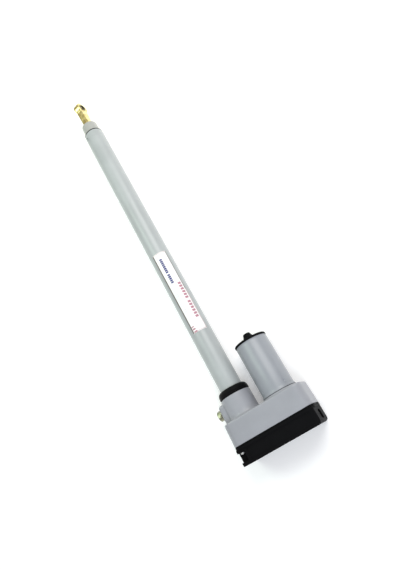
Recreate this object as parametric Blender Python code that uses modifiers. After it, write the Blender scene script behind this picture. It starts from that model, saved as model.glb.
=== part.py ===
"""Linear actuator with a parallel motor, as it lies on its side.

Every piece is modelled about the tube's axis in actuator coordinates and then laid down
by one parent empty: w runs along the tube towards the rod end, u points away from the
motor, and v is the thickness of the housing. World X is w, world Y is u and world Z is v.
Lengths below are millimetres. S turns them into metres.
"""
import math

import bmesh
import bpy
from mathutils import Matrix, Vector

S = 0.001
GAP = 0.3  # clearance between neighbouring pieces
SIDES = 40  # facets round a large turned piece
TURN = 2 * math.pi

# Driving dimensions
STROKE = 457.0
MOTOR_U = -66.5  # motor axis, from the tube axis
IDLER_U = -35.5
CAN_R = 27.3
TUBE_R = 19.05
TUBE_BORE = 17.4
ROD_R = 15.9
ROD_BORE = 13.9
NECK_R = 25.6
HOUSING_U = (-106.5, 34.0)
HALF_DEPTH = 33.0
CORNER_R = 13.0
WALL = 3.0

# Places along the tube
COVER_TOP = 28.4
HOUSING_REAR = 30.0
HOUSING_FRONT = 67.0
NECK_TOP = 102.6
COLLAR_TOP = 114.3
TUBE_REAR = 74.0
TUBE_FRONT = 690.0
GLAND_FRONT = 705.0
ROD_REAR = 125.0
ROD_FRONT = 731.0
EYE_W = 783.0
CAN_REAR = 70.2
CAN_FRONT = 160.5
GEAR_PLATE = (33.0, 36.0)
STAGE_1 = (41.0, 46.5)  # pinion and the idler's large wheel
STAGE_2 = (50.0, 57.5)  # the idler's small wheel and the screw gear
BEARING = (62.3, 72.0)

# Gears: module 1 in both stages
PINION_TEETH, IDLER_TEETH = 10, 52
IDLER_PINION_TEETH, SCREW_TEETH = 15, 56
CAM_MODULE = 0.5
CAM_PINION_TEETH, CAM_TEETH = 8, 40
WORM_WHEEL_TEETH = 30
WORM_WHEEL_R = 9.0
LIMIT_W = 15.0  # height of the limit gears' axes in the cover
WORM_WHEEL_U = -12.6
CAM_U = WORM_WHEEL_U - CAM_MODULE * (CAM_PINION_TEETH + CAM_TEETH) / 2

SCREW_POSTS = ((26.0, 22.0), (26.0, -22.0), (-98.0, 0.0))  # where the cover screws go in
PLATE_POSTS = ((MOTOR_U, 25.0), (MOTOR_U, -25.0))

# Places used by several pieces
CAVITY_TOP = 62.0
RIM = (23.9, COVER_TOP)
POCKET = (6.0, 20.3)
BOSS_U = 32.5
BOLT_W = 85.0
BOLT_R = 5.0
BOLT_HEAD = 6.4
CABLE_W = 14.0
MOTOR_SCREW_V = (15.0, -15.0)
LABEL_ANGLE = (69.0, 148.0)
LABEL_W = (220.0, 384.0)
THREAD_R = 7.5
SPIGOT_R = 7.5
ROD_PIN_W = 718.0
EYE_R = 13.0
EYE_ROLL = math.radians(-12)
EYE_HALF = 6.8
BALL_R = 10.0
BALLS = 10
POLES = 8
BRACKET_V = (-16.0, -14.0)

COLOURS = {
    "grey_paint": ((0.42, 0.44, 0.47), 0.42, 0.0),
    "black_plastic": ((0.02, 0.02, 0.022), 0.45, 0.0),
    "rubber": ((0.015, 0.015, 0.015), 0.8, 0.0),
    "zinc_yellow": ((0.72, 0.56, 0.22), 0.3, 1.0),
    "zinc_clear": ((0.62, 0.62, 0.58), 0.3, 1.0),
    "steel": ((0.5, 0.5, 0.5), 0.35, 1.0),
    "label_white": ((0.85, 0.85, 0.84), 0.4, 0.0),
    "nylon": ((0.82, 0.8, 0.72), 0.5, 0.0),
    "bronze": ((0.6, 0.4, 0.2), 0.4, 1.0),
    "copper": ((0.7, 0.32, 0.18), 0.35, 1.0),
    "ferrite": ((0.08, 0.08, 0.085), 0.7, 0.0),
    "phenolic": ((0.28, 0.14, 0.07), 0.6, 0.0),
}


# ---------------------------------------------------------------- scene helpers
def clear_scene():
    for thing in list(bpy.data.objects):
        bpy.data.objects.remove(thing, do_unlink=True)


def new_collection(name):
    collection = bpy.data.collections.new(name)
    bpy.context.scene.collection.children.link(collection)
    return collection


def material(name):
    made = bpy.data.materials.get(name)
    if made:
        return made
    colour, roughness, metallic = COLOURS[name]
    made = bpy.data.materials.new(name)
    made.use_nodes = True
    shader = made.node_tree.nodes["Principled BSDF"]
    shader.inputs["Base Color"].default_value = (*colour, 1.0)
    shader.inputs["Roughness"].default_value = roughness
    shader.inputs["Metallic"].default_value = metallic
    return made


def place(mesh, name, paint, at=(0.0, 0.0, 0.0)):
    """Put a mesh, made in millimetres, into the assembly as the piece called name."""
    mesh.transform(Matrix.Scale(S, 4))
    piece = bpy.data.objects.new(name, mesh)
    piece.location = Vector(at) * S
    if paint is None:
        CUTTERS.objects.link(piece)
        piece.hide_render = True
        piece.display_type = "WIRE"
    else:
        PIECES.objects.link(piece)
        mesh.materials.clear()
        mesh.materials.append(material(paint))
    piece.parent = LAID
    return piece


def finish_mesh(bm, name):
    bmesh.ops.recalc_face_normals(bm, faces=bm.faces)
    mesh = bpy.data.meshes.new(name)
    bm.to_mesh(mesh)
    bm.free()
    return mesh


def smooth(piece, angle=35):
    piece.data.shade_smooth()
    piece.data.set_sharp_from_angle(angle=math.radians(angle))
    return piece


# ---------------------------------------------------------------- shapes
def bake(piece):
    """Replace a piece's mesh by what its modifiers make of it."""
    graph = bpy.context.evaluated_depsgraph_get()
    mesh = bpy.data.meshes.new_from_object(piece.evaluated_get(graph))
    piece.modifiers.clear()
    old, piece.data = piece.data, mesh
    bpy.data.meshes.remove(old)
    return piece


def turned(name, paint, profile, at=(0.0, 0.0), sides=SIDES):
    """A solid of revolution about w. profile is the (radius, w) outline of half its section."""
    closed = min(profile[0][0], profile[-1][0]) > 0
    after = list(profile[1:]) + [profile[0]]
    area = sum(r * next_w - next_r * w for (r, w), (next_r, next_w) in zip(profile, after))
    points = profile if area < 0 else list(reversed(profile))
    edges = [(i, i + 1) for i in range(len(points) - 1)]
    if closed:
        edges.append((len(points) - 1, 0))
    mesh = bpy.data.meshes.new(name)
    mesh.from_pydata([(r, 0.0, w) for r, w in points], edges, [])
    piece = place(mesh, name, paint, (at[0], at[1], 0.0))
    turn = piece.modifiers.new("turn", "SCREW")
    turn.axis = "Z"
    turn.steps = turn.render_steps = sides
    turn.use_merge_vertices = True
    turn.merge_threshold = 1e-6
    return smooth(bake(piece))


def ring(name, paint, bore, radius, w, at=(0.0, 0.0), sides=SIDES):
    corners = ((bore, w[0]), (radius, w[0]), (radius, w[1]), (bore, w[1]))
    return turned(name, paint, corners, at, sides)


def rod(name, paint, radius, w, at=(0.0, 0.0), sides=SIDES):
    """A cylinder along the tube's direction."""
    bm = bmesh.new()
    bmesh.ops.create_cone(
        bm, cap_ends=True, segments=sides, radius1=radius, radius2=radius, depth=w[1] - w[0]
    )
    middle = (at[0], at[1], (w[0] + w[1]) / 2)
    return smooth(place(finish_mesh(bm, name), name, paint, middle))


def pin(name, paint, radius, start, end, sides=20):
    """A cylinder between two points."""
    start, end = Vector(start), Vector(end)
    bm = bmesh.new()
    bmesh.ops.create_cone(
        bm, cap_ends=True, segments=sides, radius1=radius, radius2=radius,
        depth=(end - start).length,
    )
    turn = (end - start).to_track_quat("Z", "Y").to_matrix().to_4x4()
    bmesh.ops.transform(bm, matrix=turn, verts=bm.verts)
    return smooth(place(finish_mesh(bm, name), name, paint, (start + end) / 2))


def block(name, paint, u, v, w, bevel=0.0):
    """A box given by its extents, with rounded edges if asked."""
    bm = bmesh.new()
    bmesh.ops.create_cube(bm, size=1.0)
    size = Vector((u[1] - u[0], v[1] - v[0], w[1] - w[0]))
    bmesh.ops.scale(bm, vec=size, verts=bm.verts)
    if bevel:
        bmesh.ops.bevel(bm, geom=bm.edges[:], offset=bevel, segments=2, affect="EDGES", profile=0.5)
    middle = Vector((u[0] + u[1], v[0] + v[1], w[0] + w[1])) / 2
    return place(finish_mesh(bm, name), name, paint, middle)


def outline_solid(name, paint, outline, w, at=(0.0, 0.0), sharp=35):
    """A flat outline of (u, v) points, filled and extruded along the tube's direction."""
    curve = bpy.data.curves.new(name, "CURVE")
    curve.dimensions = "2D"
    curve.fill_mode = "BOTH"
    curve.extrude = (w[1] - w[0]) / 2
    spline = curve.splines.new("POLY")
    spline.points.add(len(outline) - 1)
    for point, (u, v) in zip(spline.points, outline):
        point.co = (u, v, 0.0, 1.0)
    spline.use_cyclic_u = True
    flat = bpy.data.objects.new(name + "_outline", curve)
    bpy.context.scene.collection.objects.link(flat)
    graph = bpy.context.evaluated_depsgraph_get()
    mesh = bpy.data.meshes.new_from_object(flat.evaluated_get(graph))
    bpy.data.objects.remove(flat, do_unlink=True)
    bm = bmesh.new()
    bm.from_mesh(mesh)
    bpy.data.meshes.remove(mesh)
    bmesh.ops.remove_doubles(bm, verts=bm.verts, dist=1e-4)
    bmesh.ops.translate(bm, vec=(0.0, 0.0, (w[0] + w[1]) / 2), verts=bm.verts)
    return smooth(place(finish_mesh(bm, name), name, paint, (at[0], at[1], 0.0)), sharp)


def rounded_box_outline(u, v, radius, steps=5):
    """Corner points of a rectangle with round corners, anticlockwise."""
    centres = (
        (u[1] - radius, v[1] - radius), (u[0] + radius, v[1] - radius),
        (u[0] + radius, v[0] + radius), (u[1] - radius, v[0] + radius),
    )
    points = []
    for quarter, (cu, cv) in enumerate(centres):
        for step in range(steps + 1):
            angle = math.pi / 2 * (quarter + step / steps)
            points.append((cu + radius * math.cos(angle), cv + radius * math.sin(angle)))
    return points


def shrink_end(piece, w, factor_u, factor_v, centre_u):
    """Give a drawn shape its casting draft, by scaling the ring of points at w."""
    for vertex in piece.data.vertices:
        if abs(vertex.co.z - w * S) < 1e-6:
            vertex.co.x = centre_u * S + (vertex.co.x - centre_u * S) * factor_u
            vertex.co.y *= factor_v


def round_end(piece, w, radius, segments=3, beyond_u=None):
    """Round the outer edge of a shape at its flat end w, all round or only past beyond_u."""
    bm = bmesh.new()
    bm.from_mesh(piece.data)
    edges = [
        e for e in bm.edges
        if all(abs(v.co.z - w * S) < 1e-6 for v in e.verts)
        and any(abs(f.normal.z) < 0.5 for f in e.link_faces)
        and (beyond_u is None or all(v.co.x < beyond_u * S for v in e.verts))
    ]
    bmesh.ops.bevel(
        bm, geom=edges, offset=radius * S, segments=segments, affect="EDGES", profile=0.5
    )
    bm.to_mesh(piece.data)
    bm.free()


def facing_v(piece):
    """Turn a drawn shape so that its thickness runs along v."""
    piece.data.transform(Matrix.Rotation(math.radians(90), 4, "X"))
    return piece


def facing_u(piece):
    """Turn a drawn shape so that its thickness runs along u and its first axis along w."""
    piece.data.transform(Matrix.Rotation(math.radians(-90), 4, "Y"))
    return piece


def moved(piece, u, v, w):
    piece.location += Vector((u, v, w)) * S
    return piece


def gear_outline(module, teeth, turned_by=0.0, slim=0.2):
    """An involute gear's outline, with teeth a little thin for backlash."""
    pressure = math.radians(20)
    pitch = module * teeth / 2
    base, tip, root = pitch * math.cos(pressure), pitch + 0.8 * module, pitch - 1.3 * module
    spread = math.pi / (2 * teeth) * (1 - slim) + math.tan(pressure) - pressure

    def half_width(radius):
        lean = math.acos(min(1.0, base / radius))
        return spread - math.tan(lean) + lean

    flank = [(r, half_width(r)) for r in (max(root, base), tip)]
    if root < base:
        flank.insert(0, (root, half_width(base)))
    points = []
    for tooth in range(teeth):
        middle = TURN * tooth / teeth + turned_by
        for r, a in flank:
            points.append((r * math.cos(middle - a), r * math.sin(middle - a)))
        for r, a in reversed(flank):
            points.append((r * math.cos(middle + a), r * math.sin(middle + a)))
    return points


# ---------------------------------------------------------------- booleans
def weld(piece):
    """Merge the slivers that a boolean leaves where edges nearly meet."""
    bm = bmesh.new()
    bm.from_mesh(piece.data)
    bmesh.ops.remove_doubles(bm, verts=bm.verts, dist=2e-6)
    bmesh.ops.dissolve_degenerate(bm, dist=2e-6, edges=bm.edges)
    bm.to_mesh(piece.data)
    bm.free()


def boolean(piece, other, operation):
    step = piece.modifiers.new(operation.lower(), "BOOLEAN")
    step.operation = operation
    step.object = other
    bake(piece)
    weld(piece)
    bpy.data.objects.remove(other, do_unlink=True)
    return piece


def cut(piece, *cutters):
    for cutter in cutters:
        boolean(piece, cutter, "DIFFERENCE")
    return smooth(piece)


def join(piece, *others):
    for other in others:
        boolean(piece, other, "UNION")
    return smooth(piece)


# ---------------------------------------------------------------- housing and cover
def gear_housing():
    """The casting: a box with the tube neck, the clamp boss, the motor seat and screw posts."""
    depth = (-HALF_DEPTH, HALF_DEPTH)
    body = outline_solid(
        "gear_housing", "grey_paint", rounded_box_outline(HOUSING_U, depth, CORNER_R),
        (HOUSING_REAR, HOUSING_FRONT),
    )
    length = HOUSING_U[1] - HOUSING_U[0]
    draft = 2 * math.tan(math.radians(1.5)) * (HOUSING_FRONT - HOUSING_REAR)
    shrink_end(body, HOUSING_FRONT, 1 - draft / length, 1.0, sum(HOUSING_U) / 2)
    round_end(body, HOUSING_FRONT, 2.0)
    inside_u = (HOUSING_U[0] + WALL, HOUSING_U[1] - WALL)
    inside_v = (depth[0] + WALL, depth[1] - WALL)
    cavity = outline_solid(
        "cavity", None, rounded_box_outline(inside_u, inside_v, CORNER_R - WALL),
        (HOUSING_REAR - 1, CAVITY_TOP),
    )
    cut(body, cavity)
    neck = turned("neck", None, (
        (0, CAVITY_TOP + 1), (29.5, CAVITY_TOP + 1), (29.5, HOUSING_FRONT), (27.6, HOUSING_FRONT + 1.2),
        (26.5, HOUSING_FRONT + 3), (26.0, HOUSING_FRONT + 6), (NECK_R, NECK_TOP - 1),
        (NECK_R - 1, NECK_TOP), (0, NECK_TOP),
    ))
    boss = block("boss", None, (8, BOSS_U), (-14, 14), (HOUSING_FRONT - 2, 98), bevel=1.5)
    seat = rod("seat", None, 30.0, (HOUSING_FRONT - 2, CAN_REAR - GAP), (MOTOR_U, 0))
    posts = [
        rod("post", None, 4.2, (GEAR_PLATE[1] + GAP, CAVITY_TOP + 1), at, 20)
        for at in SCREW_POSTS + PLATE_POSTS
    ]
    join(body, neck, boss, seat, *posts)
    bores = [
        rod("tube_bore", None, TUBE_R + GAP, (TUBE_REAR - GAP, NECK_TOP + 1)),
        rod("lip_bore", None, 15.5, (BEARING[1], TUBE_REAR)),
        rod("bearing_bore", None, 17.3, (CAVITY_TOP - 1, BEARING[1] + GAP)),
        rod("motor_bore", None, 8.3, (CAVITY_TOP - 1, CAN_REAR + 1), (MOTOR_U, 0)),
        rod("axle_bore", None, 3.3, (CAVITY_TOP - 1, 65.5), (IDLER_U, 0), 20),
        pin("bolt_bore", None, BOLT_R + 0.3, (15, 0, BOLT_W), (BOSS_U + 2, 0, BOLT_W)),
    ]
    bores += [
        rod("screw_bore", None, 1.9, (CAVITY_TOP - 1, CAN_REAR + 1), (MOTOR_U, v), 16)
        for v in MOTOR_SCREW_V
    ]
    bores += [
        rod("post_bore", None, 1.8, (GEAR_PLATE[1], 52), at, 16) for at in SCREW_POSTS + PLATE_POSTS
    ]
    cut(body, *bores)


def housing_gasket():
    depth = (-HALF_DEPTH, HALF_DEPTH)
    w = (COVER_TOP + GAP, HOUSING_REAR - GAP)
    gasket = outline_solid(
        "housing_gasket", "rubber", rounded_box_outline(HOUSING_U, depth, CORNER_R), w
    )
    inside = rounded_box_outline(
        (HOUSING_U[0] + WALL, HOUSING_U[1] - WALL), (depth[0] + WALL, depth[1] - WALL), CORNER_R - WALL
    )
    cut(gasket, outline_solid("gasket_window", None, inside, (w[0] - 1, w[1] + 1)))


def bottom_cover():
    """The moulded cover: an open box with a wide rim, three screw wells and the cable hole."""
    side_u, side_v = (HOUSING_U[0] + 2, HOUSING_U[1] - 2), HALF_DEPTH - 1
    cover = outline_solid(
        "bottom_cover", "black_plastic", rounded_box_outline(side_u, (-side_v, side_v), 4.0, 3),
        (0.0, RIM[0] + 1),
    )
    shrink_end(cover, 0.0, 1 - 4.0 / (side_u[1] - side_u[0]), 0.985, sum(side_u) / 2)
    round_end(cover, 0.0, 5.0, 4, beyond_u=side_u[0] + 10)
    rim = outline_solid(
        "rim", None, rounded_box_outline(HOUSING_U, (-HALF_DEPTH, HALF_DEPTH), CORNER_R), RIM
    )
    join(cover, rim)
    inside = rounded_box_outline((side_u[0] + 4, side_u[1] - 4), (-side_v + 3, side_v - 3), 3.0, 2)
    cut(cover, outline_solid("inside", None, inside, (2.5, COVER_TOP + 1)))
    (left_u, left_v), right_u = SCREW_POSTS[0], SCREW_POSTS[2][0]
    wells, pockets, holes = [], [], []
    for side in (1, -1):
        v = sorted((side * (left_v - 7), side * (side_v - 1.5)))
        wells.append(block("well", None, (left_u - 9, side_u[1] - 2.5), v, (1.2, RIM[1])))
        v = sorted((side * (left_v - 4.5), side * 40))
        pockets.append(block("pocket", None, (left_u - 6.5, 40), v, POCKET))
    wells.append(block("well", None, (side_u[0] + 2.5, right_u + 9), (-10.5, 10.5), (1.2, RIM[1])))
    pockets.append(block("pocket", None, (-115, right_u + 6.5), (-8, 8), POCKET))
    for at in SCREW_POSTS:
        holes.append(rod("driver_hole", None, 4.6, (-1, POCKET[0] + 1), at, 24))
        holes.append(rod("screw_hole", None, 2.2, (POCKET[1] - 1, RIM[1] + 1), at, 16))
    holes.append(pin("cable_hole", None, 5.3, (20, 0, CABLE_W), (40, 0, CABLE_W), 24))
    join(cover, *wells)
    cut(cover, *pockets, *holes)


def cable_inlet():
    """The rubber tongue on the cover's end, with its stem through the wall and the cable's hole."""
    tongue = block("cable_inlet", "rubber", (34.4, 37.8), (-10, 10), (5.5, 35.5), bevel=1.0)
    backing = block("backing", None, (32.4, 35), (-8, 8), (7, 22))
    stem = pin("stem", None, 5.0, (27, 0, CABLE_W), (33, 0, CABLE_W), 24)
    join(tongue, backing, stem)
    cut(tongue, pin("cable", None, 3.3, (20, 0, CABLE_W), (40, 0, CABLE_W), 16))


def machine_screw(name, at, head, shank_end, paint="zinc_clear", head_r=3.6, shank_r=1.5):
    """A pan head screw along w, with the slot of its head facing the rear."""
    screw = turned(name, paint, (
        (0, head[0]), (head_r - 0.8, head[0]), (head_r, head[0] + 0.8), (head_r, head[1]),
        (shank_r, head[1]), (shank_r, shank_end), (0, shank_end),
    ), at, 20)
    slot = block("slot", None, (-5, 5), (-0.4, 0.4), (head[0] - 1, head[0] + 1.1))
    cut(screw, moved(slot, at[0], at[1], 0))


def fasteners():
    for number, at in enumerate(SCREW_POSTS, 1):
        machine_screw(f"cover_screw_{number}", at, (POCKET[1] - 3.4, POCKET[1] - GAP), 48)
    for number, at in enumerate(PLATE_POSTS, 1):
        machine_screw(f"gear_plate_screw_{number}", at, (29.8, GEAR_PLATE[0] - GAP), 48)
    for number, v in enumerate(MOTOR_SCREW_V, 1):
        at = (MOTOR_U, v)
        machine_screw(f"motor_screw_{number}", at, (58.8, CAVITY_TOP - GAP), 75, head_r=3.0)


def clamp_bolt():
    """Hex bolt and washer that lock the tube, along u in the neck's boss."""
    washer = outline_solid("clamp_washer", "zinc_clear", circle(9.8, 28), (0, 1.6))
    cut(washer, rod("washer_hole", None, BOLT_R + 0.3, (-1, 3), (0, 0), 24))
    moved(facing_u(washer), BOSS_U + GAP + 1.6, 0, BOLT_W)
    under_head = BOSS_U + 2 * GAP + 1.6
    head = outline_solid("clamp_bolt", "zinc_clear", circle(9.2, 6), (0, BOLT_HEAD), sharp=20)
    moved(facing_u(head), under_head + BOLT_HEAD, 0, BOLT_W)
    join(head, pin("shank", None, BOLT_R, (TUBE_R + GAP + 0.5, 0, BOLT_W), (under_head + 1, 0, BOLT_W)))


def circle(radius, sides, start=0.0):
    return [
        (radius * math.cos(start + TURN * k / sides), radius * math.sin(start + TURN * k / sides))
        for k in range(sides)
    ]


# ---------------------------------------------------------------- tubes and rod
def arc_band(inner, outer, start, end, steps):
    """Outline of a piece of a ring, between two angles in degrees."""
    angles = [math.radians(start + (end - start) * k / steps) for k in range(steps + 1)]
    out = [(outer * math.cos(a), outer * math.sin(a)) for a in angles]
    back = [(inner * math.cos(a), inner * math.sin(a)) for a in reversed(angles)]
    return out + back


def outer_tube():
    ring("outer_tube", "grey_paint", TUBE_BORE, TUBE_R, (TUBE_REAR, TUBE_FRONT), sides=48)
    top = TUBE_R + GAP
    turned("tube_collar", "rubber", (
        (top, NECK_TOP + 0.4), (26.0, NECK_TOP + 0.4), (26.0, 107), (25.3, 110),
        (23.8, 112.8), (22.0, COLLAR_TOP), (top, COLLAR_TOP),
    ))
    guide_r, bore = TUBE_BORE - GAP, ROD_R + GAP
    turned("tube_end_gland", "grey_paint", (
        (bore, TUBE_FRONT - 22), (guide_r, TUBE_FRONT - 22), (guide_r, TUBE_FRONT + GAP),
        (TUBE_R, TUBE_FRONT + GAP), (TUBE_R, GLAND_FRONT), (bore, GLAND_FRONT),
    ), sides=48)
    ring("wiper_seal", "rubber", bore, 18.4, (GLAND_FRONT + GAP, GLAND_FRONT + 1.9))
    outline_solid("tube_label", "label_white", arc_band(top, top + 0.25, *LABEL_ANGLE, 16), LABEL_W)


def inner_rod():
    """The sliding tube with its nut, guide ring, end plug, eye and cross pin."""
    tube = ring("inner_tube", "zinc_clear", ROD_BORE, ROD_R, (ROD_REAR, ROD_FRONT))
    inside = ROD_BORE - GAP
    turned("drive_nut", "bronze", (
        (THREAD_R + 0.35, 112), (ROD_R - 0.4, 112), (ROD_R - 0.4, ROD_REAR - GAP), (inside, ROD_REAR - GAP),
        (inside, 150), (THREAD_R + 0.35, 150),
    ))
    ring("rod_guide_ring", "nylon", ROD_R + GAP, TUBE_BORE - GAP, (127, 147))
    plug = ring("rod_plug", "steel", SPIGOT_R + GAP, inside, (700, ROD_FRONT - GAP))
    for piece in (tube, plug):
        cut(piece, cross_hole())
    pin("rod_roll_pin", "steel", 2.0, (0.3 - ROD_R, 0, ROD_PIN_W), (ROD_R - 0.3, 0, ROD_PIN_W))


def cross_hole():
    return pin("cross_hole", None, 2.3, (-20, 0, ROD_PIN_W), (20, 0, ROD_PIN_W))


def rod_eye():
    """Forged eye end: a spigot inside the plug, a round neck and a flat eye with a ball seat."""
    eye = turned("rod_eye", "zinc_yellow", (
        (0, 703), (SPIGOT_R, 703), (SPIGOT_R, ROD_FRONT + GAP), (7.2, ROD_FRONT + GAP),
        (7.1, 742), (4.0, 764), (0, 766),
    ), sides=28)
    flare = math.radians(100)
    steps = 22
    outline = [(735.0 - EYE_W, -4.5), (744.0 - EYE_W, -6.5)]
    for step in range(steps + 1):
        angle = -math.pi + flare / 2 + (TURN - flare) * step / steps
        outline.append((EYE_R * math.cos(angle), EYE_R * math.sin(angle)))
    outline += [(744.0 - EYE_W, 6.5), (735.0 - EYE_W, 4.5)]
    plate = outline_solid("plate", None, outline, (-EYE_HALF, EYE_HALF))
    plate = rolled(moved(facing_u(plate), 0, 0, EYE_W))
    join(eye, plate)
    cut(eye, cross_hole(), rolled(ball("seat", None, BALL_R + GAP)))


def rolled(piece):
    """Turn a shape about the tube's axis to the eye's resting roll, and keep its origin there."""
    piece.data.transform(Matrix.Rotation(EYE_ROLL, 4, "Z"))
    return piece


def ball(name, paint, radius):
    """A sphere at the eye's centre, its poles on the bolt's axis."""
    bm = bmesh.new()
    bmesh.ops.create_uvsphere(bm, u_segments=26, v_segments=16, radius=radius)
    bmesh.ops.rotate(bm, matrix=Matrix.Rotation(math.pi / 2, 3, "Y"), verts=bm.verts)
    return smooth(place(finish_mesh(bm, name), name, paint, (0, 0, EYE_W)))


def rod_ball():
    piece = ball("rod_ball", "steel", BALL_R)
    half = EYE_HALF + 1.6
    join(piece, pin("sleeve", None, 6.5, (-half, 0, EYE_W), (half, 0, EYE_W), 32))
    cut(piece, pin("bolt_hole", None, 5.0, (-12, 0, EYE_W), (12, 0, EYE_W), 32))
    rolled(piece)


# ---------------------------------------------------------------- drive
def lead_screw():
    """Turned screw. Its thread is a plain cylinder of the thread's mean radius."""
    end = ROD_REAR + STROKE + 32
    turned("lead_screw", "steel", (
        (0, 6), (2.2, 6), (2.2, 23.6), (5.0, 23.6), (5.0, 48.6), (7.0, 48.6), (7.0, 60.0),
        (8.0, 60.0), (8.0, BEARING[1] + GAP), (12.0, BEARING[1] + GAP), (12.0, 78),
        (THREAD_R, 81), (THREAD_R, end - 2), (THREAD_R - 2, end), (0, end),
    ), sides=28)
    gear = outline_solid("screw_gear", "nylon", gear_outline(1.0, SCREW_TEETH), STAGE_2, sharp=20)
    cut(gear, rod("gear_bore", None, 7.3, (STAGE_2[0] - 1, STAGE_2[1] + 1), (0, 0), 32))
    ring("gear_circlip", "steel", 5.3, 8.2, (47.0, 48.3), sides=24)
    ring("limit_worm", "steel", 2.5, 2.8, (8, 22), sides=20)
    ring("magnet_wheel", "ferrite", 5.3, 11.0, (25.0, 28.5), sides=28)


def bearing():
    ring("bearing_outer_race", "steel", 14.5, 17.0, BEARING)
    ring("bearing_inner_race", "steel", 8.3, 10.7, BEARING, sides=32)
    middle = sum(BEARING) / 2
    cage = ring("bearing_cage", "bronze", 12.1, 13.1, (middle - 2.6, middle + 2.6))
    for k in range(BALLS):
        angle = TURN * k / BALLS
        bm = bmesh.new()
        bmesh.ops.create_uvsphere(bm, u_segments=8, v_segments=6, radius=1.6)
        at = (12.6 * math.cos(angle), 12.6 * math.sin(angle), middle)
        join(cage, place(finish_mesh(bm, "bearing_ball"), "bearing_ball", None, at))


def gear_train():
    """The plate, the idler on its axle and the motor's pinion."""
    plate = outline_solid("gear_plate", "steel", rounded_box_outline(
        (HOUSING_U[0] + WALL + 0.6, HOUSING_U[1] - WALL - 0.6),
        (-HALF_DEPTH + WALL + 0.6, HALF_DEPTH - WALL - 0.6), CORNER_R - WALL - 0.6,
    ), GEAR_PLATE)
    through = (GEAR_PLATE[0] - 1, GEAR_PLATE[1] + 1)
    holes = [rod("bush_hole", None, 8.0, through), rod("axle_hole", None, 3.3, through, (IDLER_U, 0), 20)]
    holes += [rod("fixing", None, 2.2, through, at, 16) for at in SCREW_POSTS + PLATE_POSTS]
    cut(plate, *holes)
    ring("screw_rear_bush", "bronze", 5.3, 7.7, (32.0, 37.5), sides=28)
    rod("idler_axle", "steel", 3.0, (31.5, 65.2), (IDLER_U, 0), 20)
    idler = outline_solid("idler_gear", "nylon", gear_outline(1.0, IDLER_TEETH), STAGE_1, sharp=20)
    small = outline_solid(
        "small_wheel", None, gear_outline(1.0, IDLER_PINION_TEETH, math.pi / IDLER_PINION_TEETH),
        (STAGE_1[1] - 0.5, STAGE_2[1] + 0.8), sharp=20,
    )
    join(idler, small)
    cut(idler, rod("idler_bore", None, 3.3, (STAGE_1[0] - 1, STAGE_2[1] + 2), (0, 0), 20))
    moved(idler, IDLER_U, 0, 0)
    pinion = outline_solid(
        "motor_pinion", "steel", gear_outline(1.0, PINION_TEETH, math.pi / PINION_TEETH),
        (STAGE_1[0] - 1, STAGE_1[1] + 2), sharp=20,
    )
    cut(pinion, rod("pinion_bore", None, 2.3, (STAGE_1[0] - 2, STAGE_1[1] + 3), (0, 0), 20))
    moved(pinion, MOTOR_U, 0, 0)


# ---------------------------------------------------------------- motor
def motor_case():
    at = (MOTOR_U, 0)
    can = turned("motor_can", "grey_paint", (
        (8.3, CAN_REAR), (28.4, CAN_REAR), (28.4, CAN_REAR + 2), (CAN_R, CAN_REAR + 4),
        (CAN_R, CAN_FRONT), (CAN_R - 2, CAN_FRONT), (CAN_R - 2, CAN_REAR + 2.5), (8.3, CAN_REAR + 2.5),
    ), at, 48)
    cut(can, *[
        rod("fixing", None, 1.9, (CAN_REAR - 1, CAN_REAR + 4), (MOTOR_U, v), 16) for v in MOTOR_SCREW_V
    ])
    spigot = CAN_R - 2 - GAP
    turned("motor_end_cap", "black_plastic", (
        (0, 162.6), (6.3, 162.6), (6.3, 155), (spigot, 155), (spigot, CAN_FRONT + GAP),
        (CAN_R + 0.2, CAN_FRONT + GAP), (CAN_R + 0.2, 162.6), (20, 163.4), (13.5, 164.8),
        (11.0, 166.2), (10.2, 167.6), (5.8, 176.5), (0, 176.5),
    ), at, 48)
    ring("motor_front_bush", "bronze", 3.3, 8.0, (67.0, 74.0), at, 24)
    ring("motor_rear_bush", "bronze", 3.3, 6.0, (155, 162.3), at, 24)
    for number, middle in ((1, 90), (2, 270)):
        outline_solid(
            f"motor_magnet_{number}", "ferrite",
            arc_band(21.6, CAN_R - 2 - GAP, middle - 55, middle + 55, 12), (82, 138), at,
        )


def motor_brushes():
    ring("brush_plate", "phenolic", 9.2, CAN_R - 2.5, (145.5, 148.0), (MOTOR_U, 0), 32)
    for number, side in ((1, 1), (2, -1)):
        u = sorted((MOTOR_U + side * 7.4, MOTOR_U + side * 15))
        block(f"motor_brush_{number}", "ferrite", u, (-2.5, 2.5), (148.3, 153.3))


def armature():
    """Shaft, slotted core and commutator on the motor's axis."""
    at = (MOTOR_U, 0)
    turned("armature_shaft", "steel", (
        (0, 37.5), (2.0, 37.5), (2.0, 58), (3.0, 58), (3.0, 162.0), (0, 162.0),
    ), at, 20)
    outline = []
    for pole in range(POLES):
        middle = TURN * pole / POLES
        for angle, radius in ((-14, 10), (-7, 15), (-19, 18.5), (-20, 20.8), (0, 20.8), (20, 20.8),
                              (19, 18.5), (7, 15), (14, 10)):
            a = middle + math.radians(angle)
            outline.append((radius * math.cos(a), radius * math.sin(a)))
    core = outline_solid("armature_core", "steel", outline, (84, 136), sharp=20)
    cut(core, rod("core_bore", None, 3.3, (83, 137), (0, 0), 20))
    moved(core, *at, 0)
    ring("commutator", "copper", 3.3, 7.0, (142, 154), at, 24)


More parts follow.
